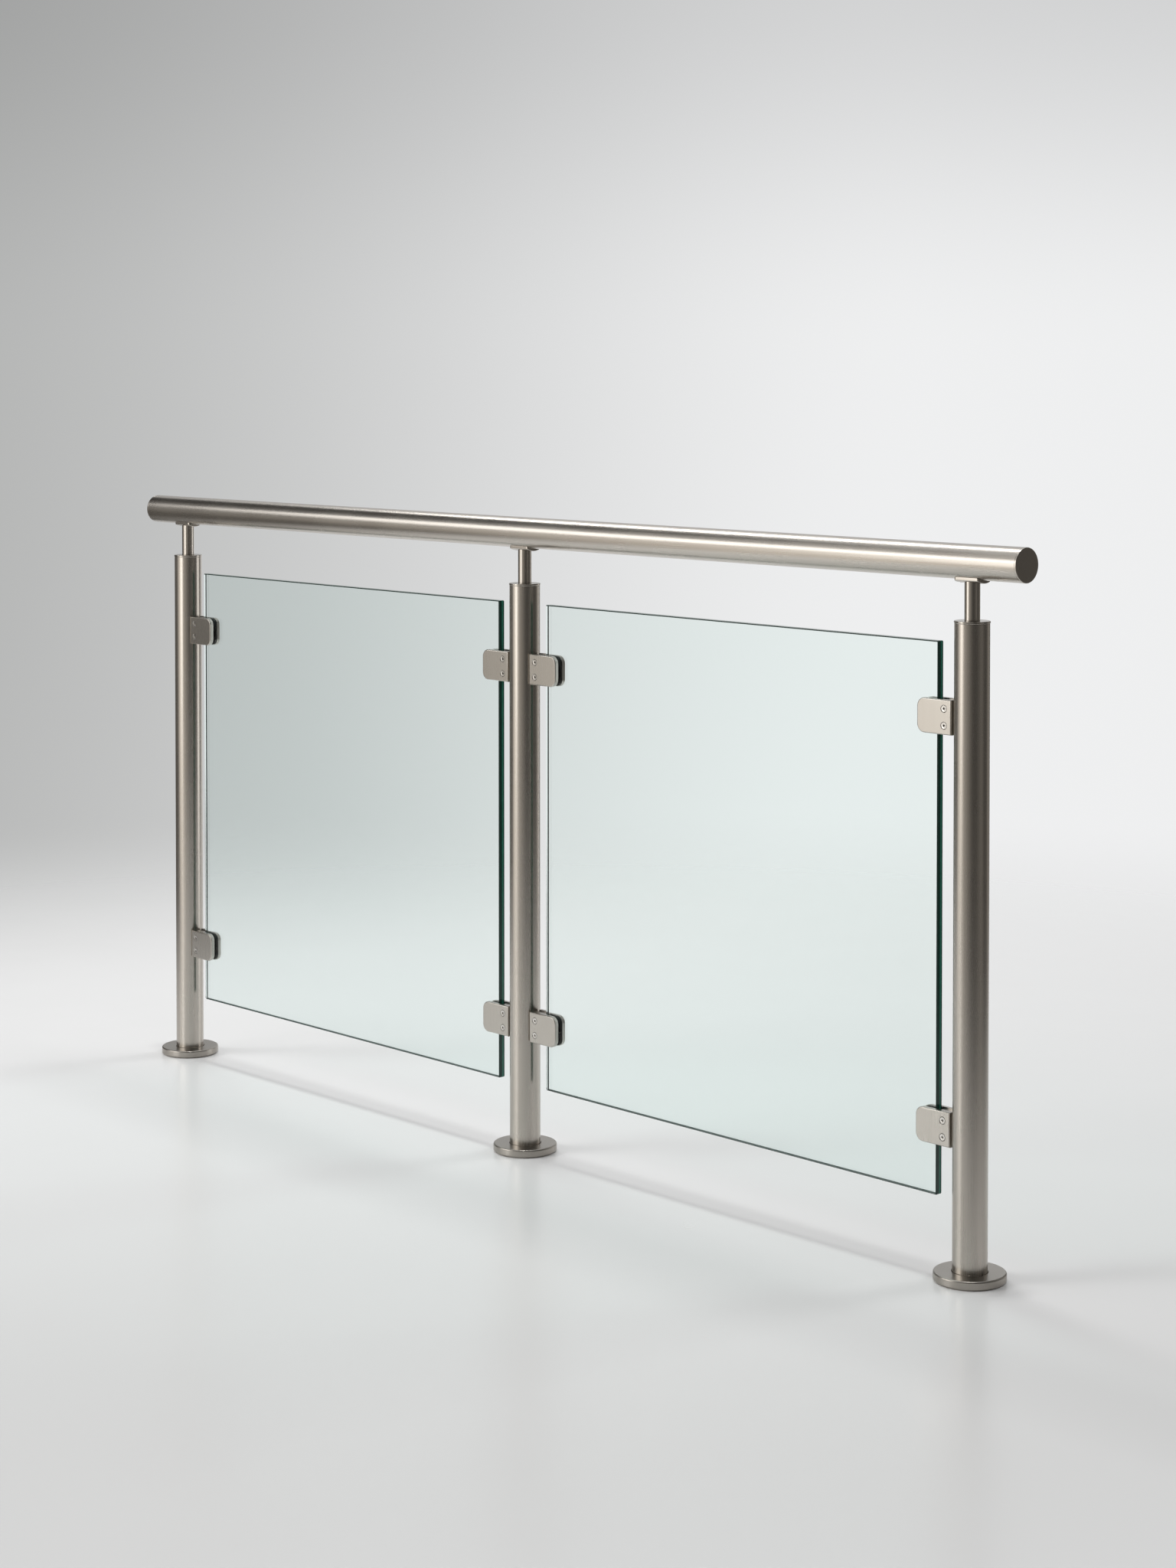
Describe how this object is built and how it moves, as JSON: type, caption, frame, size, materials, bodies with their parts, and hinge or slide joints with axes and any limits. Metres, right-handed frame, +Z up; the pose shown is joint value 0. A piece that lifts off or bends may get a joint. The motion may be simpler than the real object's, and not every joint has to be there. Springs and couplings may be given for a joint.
{
  "type": "glass balustrade panel",
  "caption": "Clear glass panes clamped between round satin steel posts on round floor flanges, under a round handrail on stems; guards the edge of a floor, stair or balcony.",
  "frame": {"origin": "on the floor under the middle post's axis, which is the bottom centre of the whole panel", "axes": "+X along the handrail, +Y to the back (the clamp screws face -Y), +Z up"},
  "size_m": [1.986, 0.1, 1],
  "materials": {
    "tube_steel": "satin, brushed along the tube",
    "fitting_steel": "satin, turned",
    "clamp_steel": "fine satin",
    "plate_steel": "mill finish",
    "screw_steel": "plain turned",
    "pane_glass": "clear, polished edges",
    "pad_rubber": "matt black"
  },
  "bodies": {
    "root": {"post_left": "tube_steel", "base_plate_left": "plate_steel", "base_cover_left": "fitting_steel", "post_cap_left": "fitting_steel", "rail_stem_left": "fitting_steel", "rail_saddle_left": "fitting_steel", "post_middle": "tube_steel", "base_plate_middle": "plate_steel", "base_cover_middle": "fitting_steel", "post_cap_middle": "fitting_steel", "rail_stem_middle": "fitting_steel", "rail_saddle_middle": "fitting_steel", "post_right": "tube_steel", "base_plate_right": "plate_steel", "base_cover_right": "fitting_steel", "post_cap_right": "fitting_steel", "rail_stem_right": "fitting_steel", "rail_saddle_right": "fitting_steel", "handrail": "tube_steel", "rail_end_cap_left": "fitting_steel", "glass_left": "pane_glass", "rail_end_cap_right": "fitting_steel", "glass_right": "pane_glass", "clamp_body_left_lower": "clamp_steel", "clamp_cover_left_lower": "clamp_steel", "clamp_pad_front_left_lower": "pad_rubber", "clamp_pad_back_left_lower": "pad_rubber", "clamp_body_left_upper": "clamp_steel", "clamp_cover_left_upper": "clamp_steel", "clamp_pad_front_left_upper": "pad_rubber", "clamp_pad_back_left_upper": "pad_rubber", "clamp_body_middle_left_lower": "clamp_steel", "clamp_cover_middle_left_lower": "clamp_steel", "clamp_pad_front_middle_left_lower": "pad_rubber", "clamp_pad_back_middle_left_lower": "pad_rubber", "clamp_body_middle_left_upper": "clamp_steel", "clamp_cover_middle_left_upper": "clamp_steel", "clamp_pad_front_middle_left_upper": "pad_rubber", "clamp_pad_back_middle_left_upper": "pad_rubber", "clamp_body_middle_right_lower": "clamp_steel", "clamp_cover_middle_right_lower": "clamp_steel", "clamp_pad_front_middle_right_lower": "pad_rubber", "clamp_pad_back_middle_right_lower": "pad_rubber", "clamp_body_middle_right_upper": "clamp_steel", "clamp_cover_middle_right_upper": "clamp_steel", "clamp_pad_front_middle_right_upper": "pad_rubber", "clamp_pad_back_middle_right_upper": "pad_rubber", "clamp_body_right_lower": "clamp_steel", "clamp_cover_right_lower": "clamp_steel", "clamp_pad_front_right_lower": "pad_rubber", "clamp_pad_back_right_lower": "pad_rubber", "clamp_body_right_upper": "clamp_steel", "clamp_cover_right_upper": "clamp_steel", "clamp_pad_front_right_upper": "pad_rubber", "clamp_pad_back_right_upper": "pad_rubber", "clamp_cover_screws": "screw_steel", "clamp_fixing_screws": "screw_steel", "rivet_nuts": "screw_steel", "rail_screws": "screw_steel", "stem_screws": "screw_steel"}
  },
  "joints": []
}
